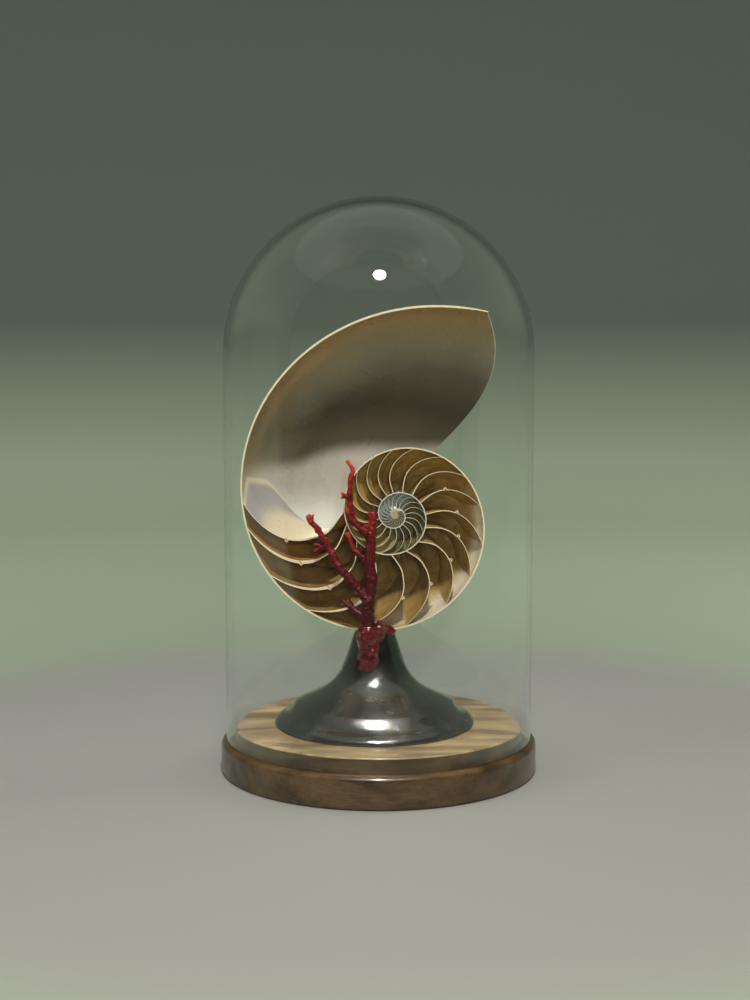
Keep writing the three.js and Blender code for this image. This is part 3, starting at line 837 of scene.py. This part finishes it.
def buildCoral():
    bm = bmesh.new()
    spine = []
    for i, (points, start, end) in enumerate(coral["branches"]):
        path = addBranch(bm, points, start, end, i * 7.3)
        slim = 1 - min(end / 3.0, 1)
        for k, place in enumerate(path):
            # Brighter higher up and on slim branches: partly the coral's tone, partly painted light from
            # above.
            tipToneAndPaintedLight = (0.35 + slim) * smoothStep(place.z, 0.07, 0.135)
            spine.append((place, lerp(0.15 if i else 0.0, tipToneAndPaintedLight, k / len(path))))
    bmesh.ops.recalc_face_normals(bm, faces=bm.faces)
    piece = newObject("red_coral", bm, (makeCoral(),))
    remesh = piece.modifiers.new("skin", "REMESH")
    remesh.mode, remesh.voxel_size = "VOXEL", coral["voxel"] * mm
    smooth = piece.modifiers.new("smooth", "SMOOTH")
    smooth.factor, smooth.iterations = 0.5, 5
    applyModifiers(piece)
    mesh = piece.data
    tree = kdtree.KDTree(len(spine))
    for i, (place, _) in enumerate(spine):
        tree.insert(place, i)
    tree.balance()
    tips = mesh.attributes.new("tip", "FLOAT", "POINT")
    normals = [v.normal.copy() for v in mesh.vertices]
    for vert, normal in zip(mesh.vertices, normals):
        near = tree.find_n(vert.co, 3)
        tips.data[vert.index].value = sum(spine[i][1] for _, i, _ in near) / 3
        lump = noise.noise(vert.co * 300) * 0.34 + noise.noise(vert.co * 900) * 0.16
        knot = max(noise.noise(vert.co * 600 + Vector((5, 3, 9))) - 0.24, 0) * 1.5
        pit = max(noise.noise(vert.co * 1500 + Vector((1, 8, 2))) - 0.3, 0) * 0.9
        vert.co += normal * (lump + knot - pit) * mm
    finishPiece(piece, [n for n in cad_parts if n.startswith("coral_")], 180)


buildCoral()

# Resin

resin = {
    "blobs": [  # centre, radii
        ((-1, -5.4, 73.6), (10, 6.2, 3.2)),
        ((0.4, -11.8, 74.6), (2.9, 3.2, 6.0)),
        ((-6.0, -13.6, 71.6), (5.5, 5.6, 7.4)),
        ((-4.8, -13.8, 66.4), (5.4, 3.6, 8.4)),
        ((-5.3, -14.8, 60.6), (5.7, 4.2, 8.2)),
    ],
    "voxel": 0.4,
}


def makeResin():
    material, tree, shader = newMaterial("redResin", colour=(0.12, 0.002, 0.004, 1), roughness=0.16, ior=1.52,
                                         transmission=0.35, coat=1.0, coatRoughness=0.1)
    ripples = noiseNode(tree, objectPoint(tree), 260.0, 3.0, 0.5)
    tree.links.new(bumpNode(tree, ripples, 0.4, 0.4 * mm), shader.inputs["Normal"])
    return material


def buildResin():
    bm = bmesh.new()
    for centre, radii in resin["blobs"]:
        size = Matrix.Diagonal((*[r * mm for r in radii], 1))
        bmesh.ops.create_icosphere(bm, subdivisions=4, radius=1,
                                   matrix=Matrix.Translation(Vector(centre) * mm) @ size)
    piece = newObject("red_resin_pool", bm, (makeResin(),))
    remesh = piece.modifiers.new("skin", "REMESH")
    remesh.mode, remesh.voxel_size = "VOXEL", resin["voxel"] * mm
    smooth = piece.modifiers.new("smooth", "SMOOTH")
    smooth.factor, smooth.iterations = 0.5, 12
    applyModifiers(piece)
    for vert in piece.data.vertices:
        low = smoothStep(vert.co.z, 72 * mm, 66 * mm)
        pebble = noise.noise(vert.co * 280) * lerp(0.6, 1.9, low) + noise.noise(vert.co * 700) * 0.5
        vert.co += vert.normal * pebble * mm
    finishPiece(piece, ["red_resin"], 180)


buildResin()

# Glass dome

dome = {"radius": 80, "wall": 2.8, "shoulder": 217.3, "rim": 16.7, "rimRound": 1.2}


def makeGlass():
    material, tree, shader = newMaterial("clearGlass", colour=(0.965, 0.985, 0.975, 1), roughness=0.0,
                                         ior=1.48, transmission=1.0)
    path = addNode(tree, "LightPath").outputs
    lamps = mathNode(tree, "MAXIMUM", path["Is Shadow Ray"], path["Is Diffuse Ray"])  # let light straight in
    clear = addNode(tree, "BsdfTransparent", {"Color": (0.965, 0.98, 0.97, 1)})
    mix = addNode(tree, "MixShader", {0: lamps, 1: shader.outputs[0], 2: clear.outputs[0]})
    tree.links.new(mix.outputs[0], tree.nodes["Material Output"].inputs["Surface"])
    return material


def buildDome():
    d = dome
    radius, wall, rim, shoulder = d["radius"], d["wall"], d["rim"], d["shoulder"]
    lip = d["rimRound"]
    outer = arcPoints((0, shoulder), radius, 90, 0, 40)
    inner = arcPoints((0, shoulder), radius - wall, 0, 90, 40)
    lowerEdge = arcPoints((radius - lip, rim + lip), lip, 0, -90, 5)
    lowerEdge += arcPoints((radius - wall + lip, rim + lip), lip, -90, -180, 5)
    straight = [(radius, lerp(shoulder, rim + lip, i / 12)) for i in range(1, 12)]
    back = [(radius - wall, lerp(rim + lip, shoulder, i / 12)) for i in range(1, 12)]
    profile = [(0, outer[0][1])] + outer[1:] + straight + lowerEdge + back
    profile += inner[:-1] + [(0, inner[-1][1])]
    piece = newObject("dome_glass", turnedMesh(profile, steps=192), (makeGlass(),))
    finishPiece(piece, ["glass_dome"], 60)


buildDome()

# Stage, lamps and camera

studio = {
    "floorRadius": 1.1,
    "sweepRadius": 0.5,
    "wallHeight": 1.9,
    "floorColour": (0.21, 0.21, 0.195),
    # The wall's tone, with a painted pool of light in a middle band and painted shade at its foot and top.
    "wallToneAndPaintedLight": [(0.2, (0.23, 0.28, 0.205)), (0.55, (0.46, 0.56, 0.41)), (0.72, (0.40, 0.48, 0.36)),
                    (1.0, (0.13, 0.16, 0.13))],
    # Painted shade: a near-black sheet at the front of the stage stands for the unlit room in reflections.
    "frontPaintedDark": (0.02, 0.023, 0.02),
    "skyColour": (0.80, 0.86, 0.80, 1),
    "skyStrength": 0.18,
    "aim": (0, 0, 0.13),
    "lamps": [  # name, place, size, power, colour, seen in reflections
        ("key", (0.01, -0.61, 1.15), 0.14, 15.5, (1.0, 0.95, 0.86), True),
        ("front", (0.1, -1.1, 0.34), 0.3, 4.4, (1.0, 0.96, 0.9), False),
        ("top", (0.0, 0.1, 1.3), 0.5, 6.5, (0.97, 1.0, 0.96), False),
        ("left", (-0.95, -0.35, 0.6), 0.5, 3.5, (0.93, 0.98, 1.0), False),
        ("right", (0.9, 0.25, 0.7), 0.4, 3.5, (1.0, 0.98, 0.92), False),
    ],
    "lens": 58.958,
    "cameraPlace": (-0.001885, -0.84709, 0.23176),
    "cameraTilt": math.radians(83.913),
}


def buildStage():
    s = studio
    reach = s["floorRadius"]
    sweep = arcPoints((reach, s["sweepRadius"]), s["sweepRadius"], -90, 0, 16)
    profile = [(0, 0)] + sweep + [(reach + s["sweepRadius"], s["wallHeight"])]
    bm = turnedMesh([(r / mm, h / mm) for r, h in profile], steps=96)
    material, tree, shader = newMaterial("backdrop", roughness=0.7)
    flat = objectPoint(tree, scale=(1, 1, 0))
    away = addNode(tree, "VectorMath", {0: flat}, operation="LENGTH").outputs["Value"]
    front = rangeNode(tree, addNode(tree, "SeparateXYZ", {0: flat}).outputs[1], -0.31, -0.40)
    height = addNode(tree, "SeparateXYZ", {0: objectPoint(tree)}).outputs[2]
    farAndHigh = mathNode(tree, "ADD", mathNode(tree, "MULTIPLY", away, 0.5), height)
    # Painted light and shade: the wall is bright in a middle band and darker at its foot and top.
    rear = rampNode(tree, farAndHigh, s["wallToneAndPaintedLight"])
    # Painted shade: the front of the stage turns near-black.
    wall = mixColour(tree, front, rear, s["frontPaintedDark"])
    fade = rangeNode(tree, away, 0.26, 0.42)
    tree.links.new(mixColour(tree, fade, s["floorColour"], wall), shader.inputs["Base Color"])
    backdrop = newObject("backdrop", bm, (material,))
    backdrop.data.flip_normals()
    backdrop.data.shade_smooth()


def addLamp(name, place, size, power, colour, glossy):
    data = bpy.data.lights.new(name, "AREA")
    data.shape, data.size, data.energy, data.color = "DISK", size, power, colour
    lamp = bpy.data.objects.new(name, data)
    lamp.visible_glossy = lamp.visible_transmission = glossy
    lamp.visible_camera = False
    lamp.location = place
    lamp.rotation_euler = (Vector(studio["aim"]) - Vector(place)).to_track_quat("-Z", "Y").to_euler()
    bpy.context.scene.collection.objects.link(lamp)


def buildLight():
    bpy.context.scene.view_settings.view_transform = "Standard"
    world = bpy.data.worlds.new("studio")
    bpy.context.scene.world = world
    world.use_nodes = True
    sky = world.node_tree.nodes["Background"]
    sky.inputs["Color"].default_value = studio["skyColour"]
    sky.inputs["Strength"].default_value = studio["skyStrength"]
    for lamp in studio["lamps"]:
        addLamp(*lamp)


def buildCamera():
    data = bpy.data.cameras.new("camera")
    data.lens, data.sensor_width = studio["lens"], 36
    camera = bpy.data.objects.new("camera", data)
    camera.location = studio["cameraPlace"]
    camera.rotation_euler = (studio["cameraTilt"], 0, 0)
    bpy.context.scene.collection.objects.link(camera)
    bpy.context.scene.camera = camera


buildStage()
buildLight()
buildCamera()
print("stage made")
